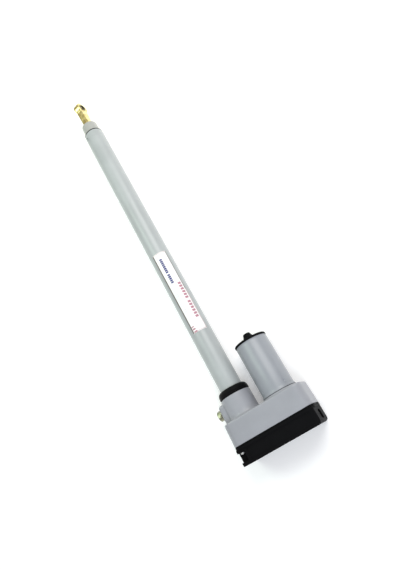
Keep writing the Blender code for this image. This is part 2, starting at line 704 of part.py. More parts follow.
# ---------------------------------------------------------------- limit switches and wiring
def limit_gears():
    """Worm wheel with its pinion, and the cam that it turns, on pins along v."""
    wheel = outline_solid(
        "worm_wheel", "nylon", gear_outline(2 * WORM_WHEEL_R / WORM_WHEEL_TEETH, WORM_WHEEL_TEETH),
        (-2.5, 2.5), sharp=20,
    )
    join(wheel, outline_solid(
        "pinion", None, gear_outline(CAM_MODULE, CAM_PINION_TEETH), (-8, -2), sharp=20
    ))
    cut(wheel, rod("bore", None, 1.1, (-9, 4), (0, 0), 12))
    moved(facing_v(wheel), WORM_WHEEL_U, 0, LIMIT_W)
    cam = outline_solid(
        "limit_cam", "nylon", gear_outline(CAM_MODULE, CAM_TEETH, math.pi / CAM_TEETH),
        (-7.0, -3.5), sharp=20,
    )
    lobes = [
        outline_solid("lobe", None, cam_outline(start), w)
        for start, w in ((0.4, (-11.8, -6.5)), (2.8, (-17.5, -11.5)))
    ]
    join(cam, *lobes)
    cut(cam, rod("bore", None, 1.1, (-19, -2), (0, 0), 12))
    moved(facing_v(cam), CAM_U, 0, LIMIT_W)
    for name, u, top in (("worm_wheel_pin", WORM_WHEEL_U, 9), ("cam_pin", CAM_U, 18.5)):
        pin(name, "steel", 0.8, (u, BRACKET_V[0], LIMIT_W), (u, top, LIMIT_W), 12)


def cam_outline(start):
    """A disc with one raised lobe."""
    steps = 36
    points = []
    for k in range(steps):
        angle = TURN * k / steps
        away = abs((angle - start + math.pi) % TURN - math.pi)
        radius = 6.5 + 2.0 * max(0.0, 1 - away / 0.6)
        points.append((radius * math.cos(angle), radius * math.sin(angle)))
    return points


def limit_switches():
    bracket = block("limit_switch_bracket", "steel", (-60, -6), BRACKET_V, (5, 32.6))
    foot = block("foot", None, (-60, -9), (BRACKET_V[1] - 0.5, -7), (30.8, 32.6))
    riser = block("riser", None, (-58, -38), (BRACKET_V[1] - 0.5, 6.7), (10, 20))
    join(bracket, foot, riser)
    cut(bracket, *[
        pin("pin_hole", None, 1.1, (u, BRACKET_V[0] - 1, LIMIT_W), (u, BRACKET_V[1] + 1, LIMIT_W), 12)
        for u in (WORM_WHEEL_U, CAM_U)
    ])
    for number, v in ((1, (7.0, 12.2)), (2, (12.6, 17.8))):
        switch = block(f"limit_switch_{number}", "black_plastic", (-57, -37), v, (9.5, 20.0), bevel=0.6)
        lever_v = (v[0] + 1.2, v[1] - 1.2)
        join(switch, block("button", None, (-37.5, -35.6), lever_v, (13.5, 16.5)))


def wiring_parts():
    terminals = block("terminal_block", "black_plastic", (-88, -72), (-11, 11), (18, 32.6), bevel=0.6)
    cut(terminals, *[rod("clamp", None, 2.2, (16, 26), (-80, v), 16) for v in (-7, 0, 7)])
    block("reed_sensor", "black_plastic", (13, 21), (-4, 4), (22, 32.6), bevel=0.6)


clear_scene()
PIECES = new_collection("linear_actuator")
CUTTERS = new_collection("cutters")
LAID = bpy.data.objects.new("laid_on_its_side", None)
PIECES.objects.link(LAID)
LAID.rotation_euler = (math.pi / 2, 0.0, math.pi / 2)

gear_housing()
housing_gasket()
bottom_cover()
cable_inlet()
fasteners()
clamp_bolt()
outer_tube()
inner_rod()
rod_eye()
rod_ball()
lead_screw()
bearing()
gear_train()
motor_case()
motor_brushes()
armature()
limit_gears()
limit_switches()
wiring_parts()
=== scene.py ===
"""Looks of the linear actuator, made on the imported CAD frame.

Lengths are in millimetres in the helpers and are turned into metres when a mesh is made.
X runs along the tube to the eye, Y from the motor's side to the tube's side, Z is up.
"""

import math

import bmesh
import bpy
from mathutils import Matrix, Vector


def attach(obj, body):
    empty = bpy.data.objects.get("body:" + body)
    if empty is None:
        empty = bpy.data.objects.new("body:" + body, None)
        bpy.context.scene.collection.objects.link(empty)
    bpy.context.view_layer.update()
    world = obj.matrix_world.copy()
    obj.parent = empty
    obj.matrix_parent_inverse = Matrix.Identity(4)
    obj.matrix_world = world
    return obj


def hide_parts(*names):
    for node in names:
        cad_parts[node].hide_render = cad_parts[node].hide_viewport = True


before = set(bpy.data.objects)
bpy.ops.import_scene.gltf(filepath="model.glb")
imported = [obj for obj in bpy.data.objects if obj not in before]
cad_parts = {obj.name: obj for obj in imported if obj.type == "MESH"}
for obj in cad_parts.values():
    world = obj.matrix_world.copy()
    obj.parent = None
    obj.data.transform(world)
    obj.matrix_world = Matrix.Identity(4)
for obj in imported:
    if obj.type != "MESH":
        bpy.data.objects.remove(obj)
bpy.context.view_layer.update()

MM = 0.001
TURN = 2 * math.pi

# Sizes shared by several pieces
MOTOR_Y = -66.5
HOUSING_Y = (-106.5, 34.0)
HALF_DEPTH = 33.0
CORNER_R = 13.0
COVER_TOP = 28.4
BOSS_Y = 32.5
BOLT_X = 85.0
BOLT_R = 5.0
CABLE_X = 14.0
COVER_SCREWS = ((26, 22), (26, -22), (-98, 0))
TUBE_R = 19.05
TUBE_BORE = 17.4
ROD_R = 15.9
GAP = 0.3  # clearance between neighbours
WELD = 0.0015  # points nearer than this are one
LABEL_R = 19.6
LABEL_X = (220.0, 384.0)
ROD_PIN_X = 718.0
ROD_PIN_HOLE_R = 2.3
EYE_X = 783.0
EYE_R = 13.0
EYE_HALF = 6.8
EYE_ROLL = math.radians(-12)
BALL_R = 10.0


# ---------------------------------------------------------------- materials
def new_material(name):
    material = bpy.data.materials.new(name)
    material.use_nodes = True
    return material, material.node_tree.nodes, material.node_tree.links


def noise(nodes, links, scale, detail=4.0, roughness=0.5, stretch=(1.0, 1.0, 1.0)):
    """Noise in the object's own metres, so it keeps its size on every piece."""
    place = nodes.new("ShaderNodeTexCoord")
    mapping = nodes.new("ShaderNodeMapping")
    mapping.inputs["Scale"].default_value = stretch
    texture = nodes.new("ShaderNodeTexNoise")
    texture.inputs["Scale"].default_value = scale
    texture.inputs["Detail"].default_value = detail
    texture.inputs["Roughness"].default_value = roughness
    links.new(place.outputs["Object"], mapping.inputs["Vector"])
    links.new(mapping.outputs["Vector"], texture.inputs["Vector"])
    return texture.outputs["Fac"]


def ramp(nodes, links, value, stops):
    """Colours by value; stops are (position, (r, g, b))."""
    band = nodes.new("ShaderNodeValToRGB")
    first, last = band.color_ramp.elements
    first.position, last.position = stops[0][0], stops[-1][0]
    first.color, last.color = (*stops[0][1], 1.0), (*stops[-1][1], 1.0)
    for position, colour in stops[1:-1]:
        stop = band.color_ramp.elements.new(position)
        stop.color = (*colour, 1.0)
    links.new(value, band.inputs["Fac"])
    return band.outputs["Color"]


def mixed(nodes, links, amount, low, high):
    mix = nodes.new("ShaderNodeMix")
    mix.data_type = "RGBA"
    links.new(amount, mix.inputs["Factor"])
    for socket, colour in ((mix.inputs["A"], low), (mix.inputs["B"], high)):
        if isinstance(colour, tuple):
            socket.default_value = (*colour, 1.0)
        else:
            links.new(colour, socket)
    return mix.outputs["Result"]


def spread(nodes, links, value, low, high, start=0.3, end=0.7):
    """A number that runs from low to high as value runs from start to end."""
    to_range = nodes.new("ShaderNodeMapRange")
    to_range.inputs["From Min"].default_value = start
    to_range.inputs["From Max"].default_value = end
    to_range.inputs["To Min"].default_value = low
    to_range.inputs["To Max"].default_value = high
    links.new(value, to_range.inputs["Value"])
    return to_range.outputs["Result"]


def bumps(nodes, links, shader, heights):
    """Stack bumps on a shader; heights are (value, depth in mm, strength)."""
    normal = None
    for value, depth, strength in heights:
        bump = nodes.new("ShaderNodeBump")
        bump.inputs["Distance"].default_value = depth * MM
        bump.inputs["Strength"].default_value = strength
        links.new(value, bump.inputs["Height"])
        if normal is not None:
            links.new(normal, bump.inputs["Normal"])
        normal = bump.outputs["Normal"]
    links.new(normal, shader.inputs["Normal"])


def shade(colour, factor):
    return tuple(min(1.0, part * factor) for part in colour)


def enamel(name, colour, roughness=0.36, peel=0.25):
    """Sprayed enamel: an orange-peel skin, faint blotches, dust specks and small scuffs."""
    material, nodes, links = new_material(name)
    shader = nodes["Principled BSDF"]
    blotches = noise(nodes, links, 22, 5, 0.55)
    tint = mixed(nodes, links, spread(nodes, links, blotches, 0, 1), shade(colour, 0.94), shade(colour, 1.05))
    specks = noise(nodes, links, 900, 2, 0.4)
    dusty = spread(nodes, links, specks, 0, 0.35, 0.69, 0.76)
    tint = mixed(nodes, links, dusty, tint, shade(colour, 0.55))
    scuffs = noise(nodes, links, 160, 6, 0.7, (0.18, 1.0, 1.0))
    tint = mixed(nodes, links, spread(nodes, links, scuffs, 0, 0.4, 0.68, 0.8), tint, shade(colour, 1.22))
    links.new(tint, shader.inputs["Base Color"])
    links.new(spread(nodes, links, blotches, roughness - 0.06, roughness + 0.1), shader.inputs["Roughness"])
    shader.inputs["Coat Weight"].default_value = 0.25
    shader.inputs["Coat Roughness"].default_value = 0.22
    peel_skin = noise(nodes, links, 420, 3, 0.5)
    bumps(nodes, links, shader, ((peel_skin, 0.12, peel), (specks, 0.05, 0.15)))
    return material


def moulded(name, colour, roughness=0.45, grain=700, depth=0.06, dust=0.12):
    """Moulded plastic or rubber: fine spark-eroded grain with a little pale dust."""
    material, nodes, links = new_material(name)
    shader = nodes["Principled BSDF"]
    patches = noise(nodes, links, 35, 5, 0.6)
    fine = noise(nodes, links, grain, 3, 0.55)
    tint = mixed(nodes, links, spread(nodes, links, patches, 0, 1), shade(colour, 0.8), shade(colour, 1.25))
    dusty = spread(nodes, links, noise(nodes, links, 260, 5, 0.7), 0, dust, 0.58, 0.8)
    tint = mixed(nodes, links, dusty, tint, (0.2, 0.19, 0.18))
    links.new(tint, shader.inputs["Base Color"])
    links.new(spread(nodes, links, patches, roughness - 0.07, roughness + 0.1), shader.inputs["Roughness"])
    shader.inputs["Specular IOR Level"].default_value = 0.10
    shader.inputs["Specular Tint"].default_value = (0.45, 0.45, 0.45, 1.0)
    bumps(nodes, links, shader, ((fine, depth, 0.5),))
    return material


def plated(name, tones, roughness=0.28, grain=(1.0, 1.0, 1.0), grain_scale=320):
    """Plated or machined metal: drifting tints, fine tool grain and duller patches."""
    material, nodes, links = new_material(name)
    shader = nodes["Principled BSDF"]
    shader.inputs["Metallic"].default_value = 1.0
    drift = noise(nodes, links, 55, 4, 0.6)
    stops = [(0.32 + 0.36 * k / (len(tones) - 1), tone) for k, tone in enumerate(tones)]
    tint = ramp(nodes, links, drift, stops)
    grime = noise(nodes, links, 210, 6, 0.7)
    tint = mixed(nodes, links, spread(nodes, links, grime, 0, 0.55, 0.6, 0.82), tint, shade(tones[0], 0.35))
    links.new(tint, shader.inputs["Base Color"])
    lines = noise(nodes, links, grain_scale, 3, 0.6, grain)
    links.new(spread(nodes, links, lines, roughness - 0.08, roughness + 0.14), shader.inputs["Roughness"])
    bumps(nodes, links, shader, ((lines, 0.03, 0.35), (grime, 0.05, 0.2)))
    return material


def film(name, colour, roughness=0.3):
    """Printed label film: nearly flat, with faint wrinkles and ageing."""
    material, nodes, links = new_material(name)
    shader = nodes["Principled BSDF"]
    age = noise(nodes, links, 60, 4, 0.6)
    tint = mixed(nodes, links, spread(nodes, links, age, 0, 1), shade(colour, 0.93), colour)
    links.new(tint, shader.inputs["Base Color"])
    shader.inputs["Roughness"].default_value = roughness
    bumps(nodes, links, shader, ((noise(nodes, links, 120, 2, 0.5, (0.3, 1, 1)), 0.05, 0.3),))
    return material


GREY = enamel("grey_enamel", (0.38, 0.405, 0.41))
CAST_GREY = enamel("grey_enamel_on_casting", (0.298, 0.305, 0.335), 0.42, 0.6)
CAN_GREY = enamel("grey_enamel_on_can", (0.27, 0.285, 0.315), 0.34, 0.2)
ROD_GREY = enamel("rod_finish", (0.375, 0.38, 0.36), 0.34, 0.15)
BLACK = moulded("black_moulding", (0.004, 0.004, 0.0046), 0.6, dust=0.02)
RUBBER = moulded("rubber", (0.0045, 0.0045, 0.005), 0.5, 500, 0.1, 0.04)
NYLON = moulded("nylon", (0.72, 0.69, 0.58), 0.42, 500, 0.03, 0.05)
FERRITE = moulded("ferrite", (0.055, 0.055, 0.06), 0.65, 900, 0.08, 0.1)
PHENOLIC = moulded("phenolic_board", (0.24, 0.11, 0.05), 0.5, 700, 0.04, 0.05)

GOLD_TONES = ((0.40, 0.31, 0.11), (0.74, 0.60, 0.24), (0.92, 0.82, 0.44), (0.58, 0.52, 0.20))
DULL_TONES = ((0.16, 0.16, 0.11), (0.42, 0.41, 0.31), (0.30, 0.30, 0.22))
CLEAR_TONES = ((0.55, 0.56, 0.55), (0.74, 0.74, 0.72), (0.68, 0.70, 0.66))
LATHE_LINES = (12.0, 1.0, 1.0)
SHEET_LINES = (60.0, 1.0, 1.0)
GOLD = plated("yellow_zinc", GOLD_TONES, 0.3)
BOLT_ZINC = plated("dull_zinc", DULL_TONES, 0.3)
ZINC = plated("clear_zinc", CLEAR_TONES, 0.3)
STEEL = plated("machined_steel", ((0.42, 0.42, 0.43), (0.58, 0.58, 0.58)), 0.28, LATHE_LINES, 120)
BALL_STEEL = plated("ball_steel", ((0.10, 0.09, 0.06), (0.26, 0.22, 0.13)), 0.24)
LAMINATION = plated("lamination_steel", ((0.25, 0.25, 0.26), (0.36, 0.36, 0.37)), 0.45, SHEET_LINES, 60)
BRONZE = plated("bronze", ((0.50, 0.31, 0.13), (0.70, 0.46, 0.22)), 0.38)
COPPER = plated("copper", ((0.62, 0.26, 0.14), (0.80, 0.40, 0.24)), 0.3, LATHE_LINES, 120)

WHITE_FILM = film("label_white", (0.86, 0.86, 0.86))
BLUE_FILM = film("label_blue", (0.05, 0.055, 0.20))
RED_FILM = film("label_red", (0.44, 0.20, 0.26))
GREY_FILM = film("label_grey", (0.45, 0.47, 0.52))
PINK_FILM = film("label_pink", (0.50, 0.34, 0.36))
BROWN_FILM = film("label_brown", (0.13, 0.11, 0.10))

NODE_FINISH = {
    "lead_screw": STEEL, "gear_circlip": STEEL, "limit_worm": STEEL, "bearing_outer_race": STEEL,
    "bearing_inner_race": STEEL, "gear_plate": ZINC, "idler_axle": STEEL, "motor_pinion": STEEL,
    "armature_shaft": STEEL, "armature_core": LAMINATION, "worm_wheel_pin": STEEL, "cam_pin": STEEL,
    "limit_switch_bracket": ZINC, "rod_plug": STEEL, "rod_roll_pin": STEEL, "drive_nut": BRONZE,
    "bearing_cage": BRONZE, "screw_rear_bush": BRONZE, "motor_front_bush": BRONZE,
    "motor_rear_bush": BRONZE, "rod_guide_ring": NYLON, "screw_gear": NYLON, "idler_gear": NYLON,
    "worm_wheel": NYLON, "limit_cam": NYLON, "commutator": COPPER, "motor_magnet_1": FERRITE,
    "motor_magnet_2": FERRITE, "magnet_wheel": FERRITE, "motor_brush_1": FERRITE,
    "motor_brush_2": FERRITE, "brush_plate": PHENOLIC, "limit_switch_1": BLACK,
    "limit_switch_2": BLACK, "terminal_block": BLACK, "reed_sensor": BLACK,
    "gear_plate_screw_1": ZINC, "gear_plate_screw_2": ZINC, "motor_screw_1": ZINC,
    "motor_screw_2": ZINC, "housing_gasket": RUBBER,
}
for node, finish in NODE_FINISH.items():
    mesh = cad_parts[node].data
    mesh.materials.clear()
    mesh.materials.append(finish)


# ---------------------------------------------------------------- mesh helpers
def mesh_from(bm, name):
    bmesh.ops.recalc_face_normals(bm, faces=bm.faces)
    mesh = bpy.data.meshes.new(name)
    bm.to_mesh(mesh)
    bm.free()
    return mesh


def lathe(name, profile, y=0.0, z=0.0, steps=96):
    """A solid turned about X. profile is a closed (x, r) outline, or an open one with r = 0 at both ends."""
    bm = bmesh.new()
    closed = profile[0][1] > 0 and profile[-1][1] > 0
    rings = []
    for x, r in profile:
        if r == 0:
            rings.append([bm.verts.new((x * MM, y * MM, z * MM))])
            continue
        ring = []
        for k in range(steps):
            a = TURN * k / steps
            ring.append(bm.verts.new((x * MM, (y + r * math.cos(a)) * MM, (z + r * math.sin(a)) * MM)))
        rings.append(ring)
    pairs = list(zip(rings, rings[1:]))
    if closed:
        pairs.append((rings[-1], rings[0]))
    for one, two in pairs:
        for k in range(steps):
            j = (k + 1) % steps
            if len(one) == 1:
                bm.faces.new((one[0], two[k], two[j]))
            elif len(two) == 1:
                bm.faces.new((one[k], two[0], one[j]))
            else:
                bm.faces.new((one[k], two[k], two[j], one[j]))
    return mesh_from(bm, name)


def pushed(name, outline, span, arrange):
    """An outline of (a, b) points pushed along t over span; arrange(a, b, t) gives (x, y, z)."""
    bm = bmesh.new()
    ends = []
    for t in span:
        ends.append([bm.verts.new(Vector(arrange(a, b, t)) * MM) for a, b in outline])
        bm.faces.new(ends[-1])
    for k in range(len(outline)):
        j = (k + 1) % len(outline)
        bm.faces.new((ends[0][k], ends[0][j], ends[1][j], ends[1][k]))
    return mesh_from(bm, name)


def prism(name, outline, x):
    """An outline of (y, z) points pushed along X."""
    return pushed(name, outline, x, lambda a, b, t: (t, a, b))


def rounded_box(y, z, radius, steps=10):
    """The outline of a rectangle with round corners, as (y, z) points."""
    points = []
    centres = (
        (y[1] - radius, z[1] - radius, 0), (y[0] + radius, z[1] - radius, 1),
        (y[0] + radius, z[0] + radius, 2), (y[1] - radius, z[0] + radius, 3),
    )
    for centre_y, centre_z, quarter in centres:
        for k in range(steps + 1):
            a = math.pi / 2 * (quarter + k / steps)
            points.append((centre_y + radius * math.cos(a), centre_z + radius * math.sin(a)))
    return points


def brick(name, x, y, z):
    outline = [(y[0], z[0]), (y[1], z[0]), (y[1], z[1]), (y[0], z[1])]
    return prism(name, outline, x)


def circle(radius, steps, start=0.0):
    return [
        (radius * math.cos(start + TURN * k / steps), radius * math.sin(start + TURN * k / steps))
        for k in range(steps)
    ]


def bar(name, radius, y, x, z=0.0, steps=48):
    """A cylinder along Y through (x, z)."""
    mesh = prism(name, circle(radius, steps), y)
    mesh.transform(Matrix.Rotation(math.pi / 2, 4, "Z"))
    mesh.transform(Matrix.Translation((x * MM, 0, z * MM)))
    return mesh


def temporary(mesh):
    thing = bpy.data.objects.new(mesh.name, mesh)
    bpy.context.scene.collection.objects.link(thing)
    return thing


def baked(thing):
    """The mesh that an object's modifiers make; the object itself is removed."""
    graph = bpy.context.evaluated_depsgraph_get()
    mesh = bpy.data.meshes.new_from_object(thing.evaluated_get(graph))
    bpy.data.objects.remove(thing, do_unlink=True)
    return mesh


def joined(name, meshes):
    """Several meshes as one, with nothing fused."""
    bm = bmesh.new()
    for mesh in meshes:
        bm.from_mesh(mesh)
    mesh = bpy.data.meshes.new(name)
    bm.to_mesh(mesh)
    bm.free()
    return mesh


def welded(mesh):
    """The mesh with touching points made one and open rims closed, so that a cut leaves no sliver."""
    bm = bmesh.new()
    bm.from_mesh(mesh)
    bmesh.ops.remove_doubles(bm, verts=bm.verts, dist=WELD * MM)
    bmesh.ops.dissolve_degenerate(bm, edges=bm.edges, dist=WELD * MM)
    bmesh.ops.holes_fill(bm, edges=[edge for edge in bm.edges if edge.is_boundary], sides=0)
    bm.to_mesh(mesh)
    bm.free()
    return mesh


def cut_from(mesh, *cutters):
    """The mesh with the cutters taken out of it."""
    thing = temporary(mesh)
    tools = [temporary(cutter) for cutter in cutters]
    for tool in tools:
        step = thing.modifiers.new("cut", "BOOLEAN")
        step.operation = "DIFFERENCE"
        step.object = tool
    mesh = welded(baked(thing))
    for tool in tools:
        bpy.data.objects.remove(tool, do_unlink=True)
    return mesh


def melted(mesh, voxel, rounds):
    """Fuse overlapping solids into one skin and round every edge and inner corner of it."""
    thing = temporary(mesh)
    fuse = thing.modifiers.new("fuse", "REMESH")
    fuse.mode = "VOXEL"
    fuse.voxel_size = voxel * MM
    relax = thing.modifiers.new("relax", "SMOOTH")
    relax.factor = 0.5
    relax.iterations = rounds
    return baked(thing)


def rounded_edges(mesh, radius, steps=3, angle=35):
    """The mesh with every edge that is sharper than the angle made round."""
    thing = temporary(mesh)
    bevel = thing.modifiers.new("round", "BEVEL")
    bevel.width = radius * MM
    bevel.segments = steps
    bevel.limit_method = "ANGLE"
    bevel.angle_limit = math.radians(angle)
    return baked(thing)


def piece(name, mesh, finish, body="housing", stands_for=(), angle=32):
    """Put a mesh into the scene as a named piece that rides on a body."""
    mesh.name = name
    mesh.shade_smooth()
    mesh.set_sharp_from_angle(angle=math.radians(angle))
    mesh.materials.clear()
    mesh.materials.append(finish)
    thing = bpy.data.objects.new(name, mesh)
    bpy.context.scene.collection.objects.link(thing)
    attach(thing, body)
    if stands_for:
        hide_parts(*stands_for)
    return thing


# ---------------------------------------------------------------- housing
def housing():
    """Sand-textured casting: drafted box, neck, clamp boss and motor seat melted together."""
    middle = sum(HOUSING_Y) / 2
    half = (HOUSING_Y[1] - HOUSING_Y[0]) / 2
    draft = math.tan(math.radians(1.5))
    bm = bmesh.new()
    rings = []
    for x, inset in ((30.0, 0.0), (64.6, 34.6 * draft), (66.0, 1.3), (67.0, 2.6)):
        half_y, half_z = half - inset, HALF_DEPTH - max(0.0, inset - 1.0)
        outline = rounded_box((middle - half_y, middle + half_y), (-half_z, half_z), CORNER_R, 12)
        rings.append([bm.verts.new((x * MM, a * MM, b * MM)) for a, b in outline])
    bm.faces.new(rings[0])
    bm.faces.new(rings[-1])
    for one, two in zip(rings, rings[1:]):
        for k in range(len(one)):
            j = (k + 1) % len(one)
            bm.faces.new((one[k], one[j], two[j], two[k]))
    box = mesh_from(bm, "box")
    neck = lathe("neck", (
        (60, 0), (60, 29.0), (67, 29.0), (68.4, 27.4), (71, 26.5), (75, 26.1), (101.6, 25.7),
        (102.6, 24.8), (102.6, 0),
    ))
    boss = rounded_edges(brick("boss", (64, 98), (8, BOSS_Y), (-14, 14)), 4.5, 5)
    seat = lathe("seat", ((60, 0), (60, 30.0), (68.8, 30.0), (69.9, 29.2), (69.9, 0)), MOTOR_Y)
    body = joined("casting", [box, neck, boss, seat])
    body = melted(body, 0.8, 5)
    inside = prism("inside", rounded_box((middle - half + 3, middle + half - 3), (-30, 30), 10), (29, 61.6))
    bore = lathe("bore", ((58, 0), (58, 17.3), (72.3, 17.3), (72.3, 19.35), (110, 19.35), (110, 0)))
    bolt_hole = bar("bolt_hole", BOLT_R + GAP, (15, 40), BOLT_X)
    motor_hole = lathe("motor_hole", ((58, 0), (58, 8.3), (75, 8.3), (75, 0)), MOTOR_Y)
    body = cut_from(body, inside, bore, bolt_hole, motor_hole)
    piece("casting", body, CAST_GREY, stands_for=("gear_housing",), angle=40)


def cover():
    """Black moulding with a stepped rim, corner wells, a framed panel on each side and a rounded heel."""
    low_y, high_y = HOUSING_Y[0] + 2, HOUSING_Y[1] - 2
    side_z = HALF_DEPTH - 1
    heel = [(5 - 5 * math.sin(a), low_y + 5 - 5 * math.cos(a)) for a in (TURN / 4 * k / 8 for k in range(9))]
    outline = [(26, low_y), *heel, (0, high_y - 0.8), (0.8, high_y), (26, high_y)]
    walls = pushed("walls", outline, (-side_z, side_z), lambda a, b, t: (a, b, t))
    walls = rounded_edges(walls, 1.2, 3, 60)
    rim_outline = rounded_box(HOUSING_Y, (-HALF_DEPTH, HALF_DEPTH), CORNER_R, 12)
    rim = prism("rim", rim_outline, (23.9, COVER_TOP))
    open_depth = (2.5, COVER_TOP + 1)
    cutters = [
        brick("inside", open_depth, (-87.5, 15.5), (-29, 29)),
        brick("beside_left_wells", open_depth, (15, 28), (-14, 14)),
        brick("above_right_well", open_depth, (-100, -87), (11, 29)),
        brick("below_right_well", open_depth, (-100, -87), (-29, -11)),
        brick("left_top", (6.0, 20.3), (19.5, 40), (17.6, 40)),
        brick("left_low", (6.0, 20.3), (19.5, 40), (-40, -17.6)),
        brick("right", (6.0, 20.3), (-115, -91.6), (-8, 8)),
        bar("cable", 5.3, (20, 40), CABLE_X),
        prism("panel_back", rounded_box((-92, 20), (-22, 22), 4.0, 4), (-1, 0.5)),
    ]
    for side in (1, -1):
        z = sorted((side * (side_z - 0.6), side * 40))
        cutters.append(brick("panel", (4.5, 22.2), (-96, 14), z))
    for y, z in COVER_SCREWS:
        cutters.append(lathe("driver", ((-1, 0), (-1, 4.6), (8, 4.6), (8, 0)), y, z, 32))
        cutters.append(lathe("screw", ((19, 0), (19, 2.2), (40, 2.2), (40, 0)), y, z, 24))
    body = melted(joined("cover_blank", [walls, rim]), 0.7, 2)
    body = cut_from(body, *cutters)
    piece("cover", body, BLACK, stands_for=("bottom_cover",), angle=38)


def gasket():
    """Rubber gasket that stands a hair proud of the housing and the cover."""
    proud = 0.1
    half_z = HALF_DEPTH + proud
    outline = rounded_box((HOUSING_Y[0] - proud, HOUSING_Y[1] + proud), (-half_z, half_z), CORNER_R, 12)
    band = prism("gasket_band", outline, (28.6, 29.9))
    window = prism("window", rounded_box((-103.5, 31), (-30, 30), 10.0, 8), (28, 31))
    piece("gasket", cut_from(band, window), RUBBER, stands_for=("housing_gasket",))


def cable_tongue():
    """Rubber tongue with grip ribs over the cable hole."""
    tongue = prism("tongue", rounded_box((34.4, 37.4), (-10, 10), 1.2, 5), (5.5, 35.5))
    ribs = [brick("rib", (x, x + 1.2), (37.0, 37.8), (-8, 8)) for x in (24.0, 27.0, 30.0, 33.0)]
    collar = bar("collar", 6.0, (34.5, 37.8), CABLE_X)
    backing = brick("backing", (7, 22), (32.4, 35), (-8, 8))
    stem = bar("stem", 5.0, (27, 33), CABLE_X)
    body = melted(joined("tongue_blank", [tongue, collar, backing, stem, *ribs]), 0.4, 2)
    body = cut_from(body, bar("cable", 3.3, (20, 45), CABLE_X))
    piece("tongue", body, RUBBER, stands_for=("cable_inlet",))


def cross_slots(x, y, z, size=2.3, width=0.9, depth=1.4):
    """Cutters for a cross recess that opens towards -X."""
    return [
        brick("slot_1", (x - 1, x + depth), (y - size, y + size), (z - width / 2, z + width / 2)),
        brick("slot_2", (x - 1, x + depth), (y - width / 2, y + width / 2), (z - size, z + size)),
    ]


def cover_screws():
    """Pan-headed screws in the cover's wells."""
    head_x = 16.9
    profile = (
        (head_x, 0), (16.95, 1.2), (17.2, 2.3), (17.8, 3.2), (18.5, 3.6), (19.6, 3.6), (20.0, 3.3),
        (20.0, 1.5), (47.2, 1.5), (48, 0.9), (48, 0),
    )
    for number, (y, z) in enumerate(COVER_SCREWS, 1):
        screw = cut_from(lathe("screw", profile, y, z, 48), *cross_slots(head_x, y, z))
        name = f"cover_screw_{number}"
        piece(f"{name}_look", screw, ZINC, stands_for=(name,))


def clamp_bolt():
    """Plated hex bolt with a chamfered head, on a washer with rounded edges."""
    washer_r, washer_thickness = 9.8, 1.6
    head_r, head_height = 9.2, 6.4
    out = BOSS_Y + GAP
    under = out + washer_thickness + GAP
    washer = bar("washer", washer_r, (out, out + washer_thickness), BOLT_X, steps=64)
    washer = cut_from(washer, bar("hole", BOLT_R + GAP, (out - 1, out + 3), BOLT_X))
    washer = rounded_edges(washer, 0.3)
    piece("washer", washer, BOLT_ZINC, stands_for=("clamp_washer",))
    head = temporary(prism("head", circle(head_r, 6, math.radians(12)), (0, head_height)))
    dome = temporary(lathe("dome", (
        (-1, 0), (-1, 9.3), (5.6, 9.3), (head_height, 7.8), (head_height, 4.0), (6.1, 3.4), (6.1, 0),
    )))
    chamfer = head.modifiers.new("chamfer", "BOOLEAN")
    chamfer.operation = "INTERSECT"
    chamfer.object = dome
    head = baked(head)
    bpy.data.objects.remove(dome, do_unlink=True)
    head = rounded_edges(head, 0.25, 2)
    head.transform(Matrix.Rotation(math.pi / 2, 4, "Z"))
    head.transform(Matrix.Translation((BOLT_X * MM, under * MM, 0)))
    shank = bar("shank", BOLT_R, (TUBE_R + 0.8, under + 0.5), BOLT_X)
    piece("bolt", joined("bolt_mesh", [head, shank]), BOLT_ZINC, stands_for=("clamp_bolt",))


# ---------------------------------------------------------------- tubes
def tubes():
    """Painted tube with a rolled mouth and a crimp, its rubber collar, gland and wiper."""
    tube = lathe("tube", (
        (74, TUBE_BORE), (74, TUBE_R), (120, TUBE_R), (689.9, TUBE_R), (690, TUBE_R - 0.1),
        (690, TUBE_BORE),
    ), steps=128)
    piece("tube", tube, GREY, stands_for=("outer_tube",))
    gland = lathe("gland_mesh", (
        (668.3, 16.2), (668.3, 17.1), (690.15, 17.1), (690.15, 18.95), (690.3, 19.05), (703.6, 19.05),
        (704.7, 18.7), (705, 18.2), (705, 16.2),
    ), steps=128)
    crimps = []
    for turn in (-38, 142):
        punch = rounded_edges(brick("crimp", (690.8, 697.6), (-1.7, 1.7), (16.7, 22)), 0.5)
        punch.transform(Matrix.Rotation(math.radians(turn), 4, "X"))
        crimps.append(punch)
    piece("gland", cut_from(gland, *crimps), GREY, stands_for=("tube_end_gland",))
    wiper = lathe("wiper_mesh", (
        (705.3, 16.1), (705.3, 18.4), (705.6, 18.8), (706.7, 18.8), (707.2, 18.2), (707.2, 17.2),
        (706.6, 16.6), (706.9, 16.1),
    ), steps=96)
    piece("wiper", wiper, RUBBER, stands_for=("wiper_seal",))
    collar = lathe("collar_mesh", (
        (103.0, 19.35), (103.0, 25.4), (103.6, 26.0), (105.6, 26.0), (106.1, 25.5), (106.8, 25.5),
        (107.3, 25.9), (109.4, 25.5), (111.6, 24.6), (113.2, 23.4), (114.3, 21.8), (114.3, 19.35),
    ), steps=112)
    piece("collar", collar, RUBBER, stands_for=("tube_collar",))


def rod():
    """Sliding tube with the hole of its roll pin."""
    tube = lathe("rod_mesh", (
        (125, 13.9), (125, 15.5), (125.4, ROD_R), (730.2, ROD_R), (731, 15.2), (731, 13.9),
    ), steps=96)
    tube = cut_from(tube, bar("hole", ROD_PIN_HOLE_R, (-20, 20), ROD_PIN_X))
    piece("rod_tube", tube, ROD_GREY, "rod", stands_for=("inner_tube",))


def rolled(mesh):
    """Turn a mesh about the tube's axis to the eye's resting roll."""
    mesh.transform(Matrix.Rotation(EYE_ROLL, 4, "X"))
    return mesh


